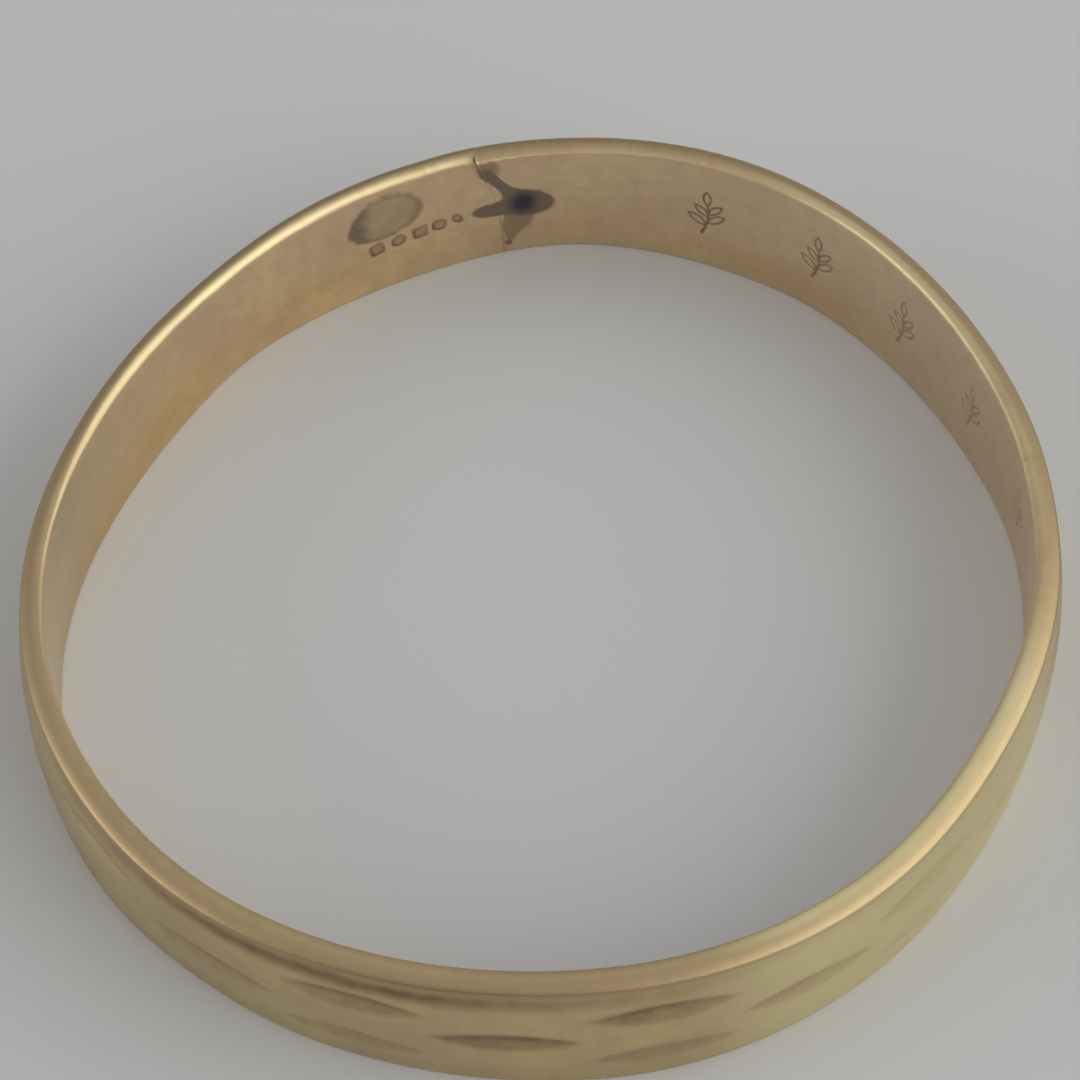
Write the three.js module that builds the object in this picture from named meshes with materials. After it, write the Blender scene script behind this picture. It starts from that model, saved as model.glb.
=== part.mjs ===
// A worn, light, yellow gold wedding band, with its axis upright and its lower rim on the ground.
// It is one strip of D-section gold wire bent round and closed by a short sizing insert, which is
// soldered in at both ends.  The four pieces meet face to face, as they do on the bench.
// Millimetres, +Z up.  Angles are in degrees, anticlockwise from +X seen from above.

import * as THREE from 'three';

// Driving dimensions
const BORE_DIAMETER = 18.8;
const BAND_WIDTH = 3.0;
const EDGE_THICKNESS = 0.47;
const CROWN_THICKNESS = 0.61;
const SOLDER_THICKNESS = 0.12;

// Where the insert starts and ends, measured on the lower rim.  The left joint was sawn askew: it
// leans along the ring by JOINT_LEAN at the upper rim, and the metal beside it follows.
const INSERT_FROM = 70.5;
const INSERT_TO = 94.0;
const JOINT_LEAN = 2.8;
const LEAN_REACH = 12;

// How years of wear have bent the thin band out of round: each entry lifts the bore by `rise`
// at `towards`, and again at every other lobe round the ring.
const BENDS = [
  { lobes: 2, rise: 0.30, towards: 57 },
  { lobes: 3, rise: 0.16, towards: 80 },
  { lobes: 4, rise: 0.03, towards: 10 },
  { lobes: 5, rise: 0.03, towards: 4 },
  { lobes: 6, rise: 0.03, towards: 2 },
];

// How finely the curves are cut into flats
const DEGREES_PER_FLAT = 3;
const FLATS_ACROSS_DOME = 8;

// A Shape cuts each arc into twice as many segments as curveSegments says.
const SEGMENTS_PER_ARC_STEP = 2;

// How far to each side of a point its direction along the bore is measured, in degrees
const TANGENT_REACH = 0.01;

// Worked out from the driving dimensions
const BORE_RADIUS = BORE_DIAMETER / 2;
const DOME_RISE = CROWN_THICKNESS - EDGE_THICKNESS;
const DOME_RADIUS = ((BAND_WIDTH / 2) ** 2 + DOME_RISE ** 2) / (2 * DOME_RISE);
const SOLDER_ANGLE = THREE.MathUtils.radToDeg(SOLDER_THICKNESS / BORE_RADIUS);
const RING_AXIS = new THREE.Vector3(0, 0, 1);

function boreRadiusAt(degrees) {
  let radius = BORE_RADIUS;
  for (const bend of BENDS) {
    const turn = THREE.MathUtils.degToRad(bend.lobes * (degrees - bend.towards));
    radius += bend.rise * Math.cos(turn);
  }
  return radius;
}

// The line of the inner wall along the lower rim, over one stretch of the ring.
class BoreLine extends THREE.Curve {
  constructor(fromDegrees, toDegrees) {
    super();
    this.fromDegrees = fromDegrees;
    this.toDegrees = toDegrees;
  }

  getPoint(t, target = new THREE.Vector3()) {
    const degrees = THREE.MathUtils.lerp(this.fromDegrees, this.toDegrees, t);
    const angle = THREE.MathUtils.degToRad(degrees);
    const radius = boreRadiusAt(degrees);
    return target.set(radius * Math.cos(angle), radius * Math.sin(angle), 0);
  }

  // Two pieces that meet both take this same direction there, so their end faces lie in one plane.
  getTangent(t, target = new THREE.Vector3()) {
    const degrees = THREE.MathUtils.lerp(this.fromDegrees, this.toDegrees, t);
    const stretch = new BoreLine(degrees - TANGENT_REACH, degrees + TANGENT_REACH);
    return target.copy(stretch.getPoint(1)).sub(stretch.getPoint(0)).normalize();
  }
}

// The D section: a flat inner wall, two flat rims and a shallow dome outside.  Extruded along a
// BoreLine, x runs down the ring's axis from the lower rim and y runs in towards the bore.
function bandSection() {
  const section = new THREE.Shape();
  const domeCentre = -CROWN_THICKNESS + DOME_RADIUS;
  const halfAngle = Math.asin(BAND_WIDTH / 2 / DOME_RADIUS);
  section.moveTo(0, 0);
  section.lineTo(0, -EDGE_THICKNESS);
  section.absarc(
    -BAND_WIDTH / 2,
    domeCentre,
    DOME_RADIUS,
    -Math.PI / 2 + halfAngle,
    -Math.PI / 2 - halfAngle,
    true,
  );
  section.lineTo(-BAND_WIDTH, 0);
  section.closePath();
  return section;
}

// How far a point is turned round the ring by the lean of the left joint: not at all on the lower
// rim, or further from the joint than LEAN_REACH.
function leanAt(degrees, height) {
  const away = Math.min(Math.abs(degrees - INSERT_TO) / LEAN_REACH, 1);
  const fade = Math.cos(away * Math.PI / 2) ** 2;
  return JOINT_LEAN * fade * (height / BAND_WIDTH) ** 2;
}

function leanWithJoint(geometry) {
  const points = geometry.getAttribute('position');
  for (let i = 0; i < points.count; i += 1) {
    const point = new THREE.Vector3().fromBufferAttribute(points, i);
    const degrees = THREE.MathUtils.radToDeg(Math.atan2(point.y, point.x));
    const turn = THREE.MathUtils.degToRad(leanAt(degrees, point.z));
    point.applyAxisAngle(RING_AXIS, turn);
    points.setXYZ(i, point.x, point.y, point.z);
  }
}

function goldPiece(name, fromDegrees, toDegrees, material) {
  const geometry = new THREE.ExtrudeGeometry(bandSection(), {
    steps: Math.max(1, Math.round((toDegrees - fromDegrees) / DEGREES_PER_FLAT)),
    curveSegments: FLATS_ACROSS_DOME / SEGMENTS_PER_ARC_STEP,
    extrudePath: new BoreLine(fromDegrees, toDegrees),
  });
  leanWithJoint(geometry);
  const piece = new THREE.Mesh(geometry, material);
  piece.name = name;
  return piece;
}

const wornGold = new THREE.MeshStandardMaterial({ color: 0xb39a58, roughness: 0.34, metalness: 1 });
const insertGold = new THREE.MeshStandardMaterial({ color: 0xb0945a, roughness: 0.36, metalness: 1 });
const goldSolder = new THREE.MeshStandardMaterial({ color: 0x7d6a4c, roughness: 0.5, metalness: 1 });

const weddingBand = new THREE.Group();
weddingBand.add(
  goldPiece('band', INSERT_TO + SOLDER_ANGLE, INSERT_FROM - SOLDER_ANGLE + 360, wornGold),
  goldPiece('sizing_insert', INSERT_FROM, INSERT_TO, insertGold),
  goldPiece('solder_joint_left', INSERT_TO, INSERT_TO + SOLDER_ANGLE, goldSolder),
  goldPiece('solder_joint_right', INSERT_FROM - SOLDER_ANGLE, INSERT_FROM, goldSolder),
);

// The origin is on the ground, midway between the ring's outermost points.
const outline = new THREE.Box3().setFromObject(weddingBand);
const middle = outline.getCenter(new THREE.Vector3());
weddingBand.position.set(-middle.x, -middle.y, 0);

export default weddingBand;
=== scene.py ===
"""Looks for a worn yellow gold wedding band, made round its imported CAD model.

The shank, the sizing insert and the two solder joints are each remade as one fine mesh.  Every mesh
is a section swept round the ring: its columns are angles and its rows go once round the D section.
Lengths are in millimetres and angles in degrees, anticlockwise from +X about the ring's own centre,
as in the CAD model.  They become metres where a mesh or the camera is made.  Only the floor and the
lights, which are far bigger than the ring, are given in metres.
"""
import math

import bpy
import numpy as np
from mathutils import Matrix, Vector


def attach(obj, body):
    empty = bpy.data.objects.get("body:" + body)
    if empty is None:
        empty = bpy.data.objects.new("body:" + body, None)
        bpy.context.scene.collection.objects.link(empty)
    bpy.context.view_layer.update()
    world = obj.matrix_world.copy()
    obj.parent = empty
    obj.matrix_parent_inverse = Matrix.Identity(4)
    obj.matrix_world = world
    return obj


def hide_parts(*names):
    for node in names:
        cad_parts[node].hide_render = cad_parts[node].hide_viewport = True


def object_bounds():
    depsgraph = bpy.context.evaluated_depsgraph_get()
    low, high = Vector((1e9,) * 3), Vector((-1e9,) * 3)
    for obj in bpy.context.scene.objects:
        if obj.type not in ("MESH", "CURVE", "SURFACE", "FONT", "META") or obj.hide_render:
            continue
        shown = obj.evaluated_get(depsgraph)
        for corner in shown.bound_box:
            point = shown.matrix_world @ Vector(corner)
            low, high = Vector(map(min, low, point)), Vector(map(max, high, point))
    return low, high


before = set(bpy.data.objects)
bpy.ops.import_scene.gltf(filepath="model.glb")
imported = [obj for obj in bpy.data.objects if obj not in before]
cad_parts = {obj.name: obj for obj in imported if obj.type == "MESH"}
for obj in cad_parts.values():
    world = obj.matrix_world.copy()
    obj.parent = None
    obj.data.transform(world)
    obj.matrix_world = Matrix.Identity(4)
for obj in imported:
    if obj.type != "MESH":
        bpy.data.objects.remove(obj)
cad_low, cad_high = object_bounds()
MM = 0.001

# ---------------------------------------------------------------- sizes, as the CAD model has them
BORE_RADIUS = 9.4
BAND_WIDTH = (cad_high.z - cad_low.z) / MM
EDGE_THICKNESS = 0.47
CROWN_THICKNESS = 0.61
SOLDER_THICKNESS = 0.12
INSERT_FROM = 70.5
INSERT_TO = 94.0
JOINT_LEAN = 2.8
LEAN_REACH = 12.0
BENDS = (
    # lobes, rise, towards
    (2, 0.30, 57.0),
    (3, 0.16, 80.0),
    (4, 0.03, 10.0),
    (5, 0.03, 4.0),
    (6, 0.03, 2.0),
)
SOLDER_ANGLE = math.degrees(SOLDER_THICKNESS / BORE_RADIUS)
MM_PER_DEGREE = math.radians(BORE_RADIUS)


def bore_radius(degrees):
    """Radius of the inner wall, out of round by the bends of wear."""
    radius = np.full_like(degrees, BORE_RADIUS)
    for lobes, rise, towards in BENDS:
        radius += rise * np.cos(np.radians(lobes * (degrees - towards)))
    return radius


def ring_middle():
    """Middle of the ring's outermost points, which the CAD model has at its origin."""
    degrees = np.arange(0.0, 360.0, 0.1)
    radius = bore_radius(degrees) + CROWN_THICKNESS
    x = radius * np.cos(np.radians(degrees))
    y = radius * np.sin(np.radians(degrees))
    return (x.min() + x.max()) / 2, (y.min() + y.max()) / 2


RING_CENTRE = tuple(-value for value in ring_middle())


def smooth_step(value):
    """0 below 0, 1 above 1 and smooth between."""
    value = np.clip(value, 0.0, 1.0)
    return value * value * (3.0 - 2.0 * value)


def soft_step(value, start, over):
    """0 up to the start, rising smoothly to 1 over a distance."""
    return smooth_step((value - start) / over)


def turn_apart(degrees, other):
    """Signed angle from other to degrees, between -180 and 180."""
    return (degrees - other + 180.0) % 360.0 - 180.0


def around(degrees, towards, reach):
    """A soft hump round the ring, from 0 to 1."""
    return np.exp(-(turn_apart(degrees, towards) / reach) ** 2)


def joint_lean(degrees, height):
    """How far the askew left joint turns a point round the ring."""
    away = np.clip(np.abs(turn_apart(degrees, INSERT_TO)) / LEAN_REACH, 0.0, 1.0)
    fade = np.cos(away * math.pi / 2) ** 2
    return JOINT_LEAN * fade * (height / BAND_WIDTH) ** 2


# ---------------------------------------------------------------- waves, the unevenness of worn metal
# Kinds of unevenness: seed, how many waves, their turns round the ring, slant across it and size.
# The inner edge's is a share of how far that edge is worn.
WALL_WAVES = (3, 6, (5, 14), 0.3, 0.010)
SKIN_WAVES = (5, 12, (20, 90), 2.5, 0.0016)
RIM_WAVES = (6, 10, (30, 150), 3.0, 0.004)
INNER_EDGE_WAVES = (8, 8, (4, 30), 0.0, 0.07)
# Edges of stains and marks: how many waves, their turns and slant
RAGGED_WAVES = (14, (40, 260), 16.0)


def waves(degrees, height, seed, count, round_turns, across, size):
    """Smooth unevenness: a few seeded waves of whole turns round the ring and any slant across it."""
    dice = np.random.default_rng(seed)
    total = np.zeros_like(degrees)
    for _ in range(count):
        turns = dice.integers(round_turns[0], round_turns[1] + 1)
        slant = dice.uniform(-across, across)
        phase = dice.uniform(0.0, 2.0 * math.pi)
        total += np.cos(np.radians(degrees) * turns + slant * height + phase)
    return size * total / math.sqrt(count)


def ragged_edge(degrees, height, seed, size):
    """Fine unevenness, about as fine along the wall as up it."""
    return waves(degrees, height, seed, *RAGGED_WAVES, size)


# ---------------------------------------------------------------- the outer face: grooves and cuts
CUT_COUNT = 11
CUT_PITCH = 360.0 / CUT_COUNT
CUT_PHASE = 248.5
CUT_HALF_LENGTH = 1.40
CUT_HALF_HEIGHT = 0.30
CUT_DEPTH = 0.105
# How softly the edge and the bottom of a cut are rounded
CUT_WORN = 0.14
CUT_BOTTOM_WORN = 0.10
# How much shallower the cuts are where the face is rubbed
CUT_RUBBED = 0.35
ROW_MIDDLE = 1.44
ROW_SPACING = 0.62
LOWEST_ROW_SHARE = 0.55
GROOVE_FROM_RIM = 0.38
GROOVE_HALF_WIDTH = 0.32
GROOVE_DEPTH = 0.030
# The face is plain this far past the insert's ends, and its ornament comes in over as much again.
PLAIN_MARGIN = 4.0


def cut_row(degrees, height, phase, row_height):
    """One row of worn, lens-shaped cuts, spaced evenly round the ring: how deep each point is, from
    0 to 1, and how far up its cut it lies, from -1 to 1."""
    along = (degrees - phase + CUT_PITCH / 2) % CUT_PITCH - CUT_PITCH / 2
    along = along * MM_PER_DEGREE / CUT_HALF_LENGTH
    across = (height - row_height) / CUT_HALF_HEIGHT
    inside = 1.0 - along ** 2 - np.sqrt(across ** 2 + CUT_BOTTOM_WORN ** 2)
    depth = CUT_WORN * np.log1p(np.exp(np.clip(inside / CUT_WORN, -30.0, 30.0)))
    return depth, np.clip(across, -1.0, 1.0)


def groove(height, middle):
    """A worn groove right round the ring, from 0 to 1."""
    across = np.abs(height - middle) / GROOVE_HALF_WIDTH
    return smooth_step(1.0 - across)


def away_from_insert(degrees):
    """0 on the plain sizing insert and 1 where the ornament is whole."""
    middle = (INSERT_FROM + INSERT_TO) / 2
    half = (INSERT_TO - INSERT_FROM) / 2 + PLAIN_MARGIN
    return smooth_step((np.abs(turn_apart(degrees, middle)) - half) / PLAIN_MARGIN)


# Dirt and painted shade lie in the cuts and the upper groove on the left and middle of the front.
# They fade further right.
CUT_DIRT_AND_SHADE_TOWARDS = 269.0
CUT_DIRT_AND_SHADE_REACH = 34.0
GROOVE_DIRT_AND_SHADE_TOWARDS = 246.0
GROOVE_DIRT_AND_SHADE_REACH = 30.0
LEAST_DIRT_AND_SHADE = 0.05
# How dark a cut's middle is, dirt and shade, and how much darker its upper side, as painted shade
DIRT_AND_SHADE_IN_MIDDLE = 0.76
SHADE_UPWARDS = 0.24


def dirt_and_shade_share(degrees, towards, reach):
    return LEAST_DIRT_AND_SHADE + (1.0 - LEAST_DIRT_AND_SHADE) * around(degrees, towards, reach)


def outer_cuts(degrees, height):
    """Depth of the cut ornament in millimetres, and its dirt and painted shade, from 0 to 1.  Both
    are darkest along the upper side of each cut and in the groove below the upper rim."""
    depth = np.zeros_like(degrees)
    dirt_and_shade = np.zeros_like(degrees)
    in_cuts = dirt_and_shade_share(degrees, CUT_DIRT_AND_SHADE_TOWARDS, CUT_DIRT_AND_SHADE_REACH)
    in_groove = dirt_and_shade_share(degrees, GROOVE_DIRT_AND_SHADE_TOWARDS, GROOVE_DIRT_AND_SHADE_REACH)
    for row, share in zip((-1, 0, 1), (LOWEST_ROW_SHARE, 1.0, 1.0)):
        phase = CUT_PHASE + (CUT_PITCH / 2 if row == 0 else 0.0)
        cut, up = cut_row(degrees, height, phase, ROW_MIDDLE + row * ROW_SPACING)
        depth = np.maximum(depth, CUT_DEPTH * share * cut)
        # painted shade: the upper side of each cut is darker
        fill = smooth_step(cut * 3.0) * (DIRT_AND_SHADE_IN_MIDDLE + SHADE_UPWARDS * up)
        dirt_and_shade = np.maximum(dirt_and_shade, in_cuts * share * fill)
    depth *= 1.0 - CUT_RUBBED * rubbed_and_sheen(degrees)
    upper = groove(height, BAND_WIDTH - GROOVE_FROM_RIM)
    lower = groove(height, GROOVE_FROM_RIM)
    depth += GROOVE_DEPTH * (upper + lower)
    dirt_and_shade = np.maximum(dirt_and_shade, in_groove * upper)
    whole = away_from_insert(degrees)
    return depth * whole, np.clip(dirt_and_shade * whole, 0.0, 1.0)


# ---------------------------------------------------------------- the inner wall: ornament and marks
# Engraved sprigs: a bent stem with two pairs of leaves and one at the tip.  Every leaf is drawn by
# its outline.  Seen from inside the ring, each sprig stands upright at its angle.
SPRIG_ANGLES = (69.7, 54.8, 40.7, 25.6, 9.4)
SPRIG_MIDDLE = 1.58
SPRIG_HALF_HEIGHT = 0.62
SPRIG_HALF_REACH = 3.0
SPRIG_FADE = 0.12
# No line of a sprig is further than this from its middle, along the wall and up it.
SPRIG_ROOM = (0.8, 0.9)
STEM_BEND = 0.07
STEM_LEAN = 0.10
STEM_HALF_WIDTH = 0.027
# The stem's share of that width at its foot, and how much of the share it loses up to its tip
STEM_AT_FOOT = 1.2
STEM_THINNING = 0.5
LEAF_LINE_HALF_WIDTH = 0.020
LEAF_SLENDERNESS = 0.19
# Below 1, a leaf is blunter than a sine's hump.
LEAF_POINTEDNESS = 0.8
LEAVES = (
    # how far up the stem it grows, way it points from upright, length
    (0.30, -52.0, 0.46),
    (0.38, 50.0, 0.46),
    (0.62, -44.0, 0.40),
    (0.70, 42.0, 0.40),
    (1.00, -4.0, 0.40),
)
LINE_POINTS = 7
LINE_SOFTNESS = 0.040
ENGRAVED_DEPTH = 0.025

# Blank punch marks, worn nearly away: angle, height, half length, half height, lean, squareness
PUNCHES = (
    (110.9, 1.27, 0.17, 0.20, 14.0, 4.0),
    (107.9, 1.30, 0.19, 0.17, -8.0, 2.0),
    (105.0, 1.34, 0.18, 0.18, 4.0, 5.0),
    (102.4, 1.38, 0.18, 0.17, -4.0, 3.0),
    (99.8, 1.43, 0.12, 0.17, 20.0, 2.2),
)
PUNCH_DEPTH = 0.030
# Across a mark, 0 is its middle and 1 its outside: where its firm edge runs, and how wide that is
PUNCH_EDGE_AT = 0.74
PUNCH_EDGE_WIDTH = 0.42
# How deep its middle is beside its edge, and how much firmness its edge keeps and loses with wear
PUNCH_FLOOR = 0.42
PUNCH_FLOOR_SOFTNESS = 0.35
PUNCH_FIRMNESS = 0.80
PUNCH_WORN_SIDE = 0.20
# Which way along and up the wall the worn side is, and how ragged the marks are: seed and size
PUNCH_WORN_TOWARDS = (0.6, 0.8)
PUNCH_RAGGED = (13, 0.07)


def stem_point(climb):
    """Middle of the stem, climb going from 0 at its foot to 1 where the last leaf grows."""
    x = STEM_BEND * np.sin(math.pi * climb) - STEM_LEAN * (0.5 - climb)
    z = -SPRIG_HALF_HEIGHT + climb * (2.0 * SPRIG_HALF_HEIGHT - LEAVES[-1][2])
    return x, z


def sprig_lines():
    """One sprig about the origin, as lines of (x, z, half width) points."""
    share = np.linspace(0.0, 1.0, LINE_POINTS)
    stem_x, stem_z = stem_point(share)
    stem_widths = STEM_HALF_WIDTH * (STEM_AT_FOOT - STEM_THINNING * share)
    lines = [np.column_stack([stem_x, stem_z, stem_widths])]
    for level, lean, length in LEAVES:
        x, z = stem_point(level)
        way = np.array([math.sin(math.radians(lean)), math.cos(math.radians(lean))])
        for side in (-1.0, 1.0):
            bulge = side * LEAF_SLENDERNESS * length * np.sin(math.pi * share) ** LEAF_POINTEDNESS
            line_x = x + way[0] * length * share + way[1] * bulge
            line_z = z + way[1] * length * share - way[0] * bulge
            widths = np.full_like(share, LEAF_LINE_HALF_WIDTH)
            lines.append(np.column_stack([line_x, line_z, widths]))
    return lines


def inside_line(x, z, line):
    """How far inside a tapered line each point lies; negative outside."""
    most = np.full_like(x, -1e3)
    for start, end in zip(line[:-1], line[1:]):
        run = end[:2] - start[:2]
        share = ((x - start[0]) * run[0] + (z - start[1]) * run[1]) / max(run @ run, 1e-9)
        share = np.clip(share, 0.0, 1.0)
        away = np.hypot(x - start[0] - share * run[0], z - start[1] - share * run[1])
        most = np.maximum(most, start[2] + (end[2] - start[2]) * share - away)
    return most


def engraving(degrees, height):
    """How deep the engraved sprigs are, from 0 to 1.  They fade with wear from left to right."""
    cut = np.zeros_like(degrees)
    for number, angle in enumerate(SPRIG_ANGLES):
        # Seen from inside the ring, going right means a falling angle.
        x = -turn_apart(degrees, angle) * MM_PER_DEGREE
        z = height - SPRIG_MIDDLE
        near = (np.abs(x) < SPRIG_ROOM[0]) & (np.abs(z) < SPRIG_ROOM[1])
        firmness = 1.0 - SPRIG_FADE * number
        for line in sprig_lines():
            inside = inside_line(x[near], z[near], line)
            depth = firmness * smooth_step(0.5 + inside / LINE_SOFTNESS)
            cut[near] = np.maximum(cut[near], depth)
    return cut


def punch_marks(degrees, height):
    """How deep the punch marks are, from 0 to 1: a firm edge, worn off on one side, round a dent."""
    cut = np.zeros_like(degrees)
    for angle, middle, half_length, half_height, lean, squareness in PUNCHES:
        turn = math.radians(lean)
        right = -turn_apart(degrees, angle) * MM_PER_DEGREE
        up = height - middle
        x = (right * math.cos(turn) + up * math.sin(turn)) / half_length
        z = (up * math.cos(turn) - right * math.sin(turn)) / half_height
        edge = (np.abs(x) ** squareness + np.abs(z) ** squareness) ** (1.0 / squareness)
        edge += ragged_edge(degrees, height, *PUNCH_RAGGED)
        towards_worn = x * PUNCH_WORN_TOWARDS[0] + z * PUNCH_WORN_TOWARDS[1]
        firm = PUNCH_FIRMNESS - PUNCH_WORN_SIDE * np.clip(towards_worn, -1.0, 1.0)
        firm_edge = firm * smooth_step(1.0 - np.abs(edge - PUNCH_EDGE_AT) / PUNCH_EDGE_WIDTH)
        floor = PUNCH_FLOOR * smooth_step((1.0 - edge) / PUNCH_FLOOR_SOFTNESS)
        cut = np.maximum(cut, np.maximum(firm_edge, floor))
    return cut


# ---------------------------------------------------------------- dents and warps of the whole wall
DENTS = (
    # angle, half width in degrees, height, half height, push outwards
    (131.0, 10.0, 0.0, 1.6, 0.11),
    (109.0, 8.0, 0.0, 1.6, -0.04),
    (87.0, 9.0, 0.0, 1.6, 0.08),
    (66.0, 9.0, 0.0, 1.6, -0.07),
    (14.0, 11.0, 0.0, 1.6, 0.06),
    (229.0, 10.0, 0.0, 1.4, -0.08),
    (276.0, 22.0, 0.0, 1.4, 0.13),
    (45.0, 20.0, 3.0, 1.6, 0.06),
    (92.0, 9.0, 3.0, 1.6, -0.04),
    (137.0, 12.0, 3.0, 1.6, -0.05),
    (5.0, 9.0, 3.0, 1.6, -0.05),
)


def wall_warp(degrees, height):
    """Local bends of the thin wall, inside and outside together."""
    push = waves(degrees, height, *WALL_WAVES)
    for angle, half, level, reach, outwards in DENTS:
        away = (turn_apart(degrees, angle) / half) ** 2 + ((height - level) / reach) ** 2
        push += outwards * np.exp(-away)
    return push


# ---------------------------------------------------------------- the D section
WALL_FINE_FROM = 0.90
WALL_FINE_TO = 2.30
WALL_ROWS_FINE = 54
WALL_ROWS_BELOW = 12
WALL_ROWS_ABOVE = 8
EDGE_ROWS = 5
RIM_ROWS = 2
DOME_ROWS = 38

# How the upper rim is worn, at angles round the ring: how far the top of the inner wall has been worn
# back, and how far in the rim's inner and outer edges are worn.  The insert's inner edge is sharp.
EDGE_WEAR = (
    # angle, wall, inner edge, outer edge
    (95.0, 0.13, 0.17, 0.14),
    (158.0, 0.13, 0.16, 0.15),
    (174.0, 0.08, 0.07, 0.24),
    (225.0, 0.00, 0.06, 0.24),
    (262.0, 0.00, 0.05, 0.16),
    (300.0, 0.00, 0.07, 0.28),
    (335.0, 0.00, 0.08, 0.30),
    (15.0, 0.04, 0.07, 0.28),
    (50.0, 0.06, 0.08, 0.26),
    (68.0, 0.00, 0.03, 0.18),
)
WALL_WORN_FROM = 1.70
INNER_EDGE_SHARP = 0.030
INNER_EDGE_DROP = 0.85
OUTER_EDGE_DROP = 0.50
LOWER_EDGE_WORN = 0.045

# The shape of a worn corner: 0 is a quarter circle and 1 a flat bevel.
CORNER_FLATNESS = 0.60
CORNER_TURNS = np.linspace(0.0, math.pi / 2, EDGE_ROWS + 1)[1:]

# The faces that a row can lie on
WALL, RIM, DOME = 0, 1, 2


def dome_offset(height):
    """Thickness of the wall at a height, out to the dome."""
    half = BAND_WIDTH / 2
    rise = CROWN_THICKNESS - EDGE_THICKNESS
    radius = (half ** 2 + rise ** 2) / (2 * rise)
    return CROWN_THICKNESS - radius + np.sqrt(radius ** 2 - (height - half) ** 2)


def edge_wear(degrees):
    """How far the wall's top, the inner edge and the outer edge of the upper rim are worn."""
    angles, *wear = zip(*EDGE_WEAR)
    return [np.interp(degrees, angles, column, period=360) for column in wear]


def worn_corner(turn):
    """A point on a worn corner, turn going from 0 to a right angle: how far it has left the first
    face and how far along that face it has gone, both from 0 to 1."""
    share = turn / (math.pi / 2)
    away = 1 - math.cos(turn)
    along = math.sin(turn)
    return away + (share - away) * CORNER_FLATNESS, along + (share - along) * CORNER_FLATNESS


def wall_rows(wall, top):
    """Rows up the inner wall to where the worn inner edge starts."""
    heights = [
        *np.linspace(LOWER_EDGE_WORN, WALL_FINE_FROM, WALL_ROWS_BELOW, endpoint=False),
        *np.linspace(WALL_FINE_FROM, WALL_FINE_TO, WALL_ROWS_FINE, endpoint=False),
    ]
    for share in np.linspace(0.0, 1.0, WALL_ROWS_ABOVE):
        heights.append(WALL_FINE_TO + (top - WALL_FINE_TO) * share)
    rows = []
    for height in heights:
        worn_back = np.clip((height - WALL_WORN_FROM) / (top - WALL_WORN_FROM), 0.0, 1.0)
        rows.append((wall * worn_back ** 2, height, WALL))
    return rows


def upper_rim_rows(wall, inner_edge, outer_edge, top, drop):
    """Rows over the worn inner edge, across the rim and over the worn outer edge."""
    rows = []
    for turn in CORNER_TURNS:
        away, along = worn_corner(turn)
        rows.append((wall + inner_edge * away, top + (BAND_WIDTH - top) * along, RIM))
    rim_start = wall + inner_edge
    rim_end = dome_offset(BAND_WIDTH - drop) - outer_edge
    for share in np.linspace(0.0, 1.0, RIM_ROWS + 1)[1:]:
        rows.append((rim_start + (rim_end - rim_start) * share, BAND_WIDTH, RIM))
    for turn in CORNER_TURNS:
        away, along = worn_corner(turn)
        rows.append((rim_end + outer_edge * along, BAND_WIDTH - drop * away, RIM))
    return rows


def dome_rows(drop):
    """Rows down the dome to the lower edge."""
    rows = []
    for share in np.linspace(0.0, 1.0, DOME_ROWS + 1)[1:]:
        height = (BAND_WIDTH - drop) * (1.0 - share) + LOWER_EDGE_WORN * share
        rows.append((dome_offset(height), height, DOME))
    return rows


def lower_rim_rows():
    """Rows under the lower rim, back to the foot of the wall."""
    low = LOWER_EDGE_WORN
    foot = dome_offset(low)
    rows = []
    for turn in CORNER_TURNS:
        rows.append((foot - low * (1 - math.cos(turn)), low * (1 - math.sin(turn)), RIM))
    for share in np.linspace(1.0, 0.0, RIM_ROWS + 1)[1:]:
        rows.append((low + (foot - 2 * low) * share, 0.0, RIM))
    for turn in CORNER_TURNS[:-1]:
        rows.append((low * (1 - math.sin(turn)), low * (1 - math.cos(turn)), RIM))
    return rows


def section(wall, inner_edge, outer_edge):
    """The section's rows for each column: thickness, height and face, from the lower inner edge up
    the wall, over the upper rim, down the dome and back under.  wall, inner_edge and outer_edge say
    how worn the top of the section is in each column."""
    top = BAND_WIDTH - inner_edge * INNER_EDGE_DROP
    drop = outer_edge * OUTER_EDGE_DROP
    rows = wall_rows(wall, top)
    rows += upper_rim_rows(wall, inner_edge, outer_edge, top, drop)
    rows += dome_rows(drop)
    rows += lower_rim_rows()
    offset, height, face = (
        np.stack([np.broadcast_to(value, wall.shape) for value in values], axis=1)
        for values in zip(*rows)
    )
    return offset, height, face


# ---------------------------------------------------------------- stains
# The scorch left by soldering, as patches that run together.
SCORCH = (
    # angle, height, half length, half height, slant, strength
    (91.9, 1.53, 0.36, 0.44, 0.0, 1.30),
    (89.7, 1.48, 0.34, 0.34, -8.0, 0.90),
    (93.4, 1.86, 0.16, 0.30, 32.0, 0.90),
    (94.4, 2.14, 0.11, 0.26, 38.0, 0.85),
    (95.3, 2.36, 0.11, 0.22, 38.0, 0.80),
    (96.3, 2.58, 0.25, 0.26, 10.0, 0.76),
    (94.2, 1.47, 0.30, 0.20, -5.0, 0.90),
    (96.6, 1.43, 0.36, 0.22, -8.0, 0.92),
    (93.8, 0.31, 0.11, 0.08, 0.0, 0.95),
)
SCORCH_CORE = (91.9, 1.54, 0.34, 0.42, 0.0)
HAZE = (
    (92.4, 1.12, 0.34, 0.30, 0.0, 1.00),
    (92.8, 0.86, 0.26, 0.26, 0.0, 1.00),
    (93.4, 0.58, 0.13, 0.30, 0.0, 0.95),
    (96.2, 2.72, 0.38, 0.34, 0.0, 0.80),
)
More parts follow.
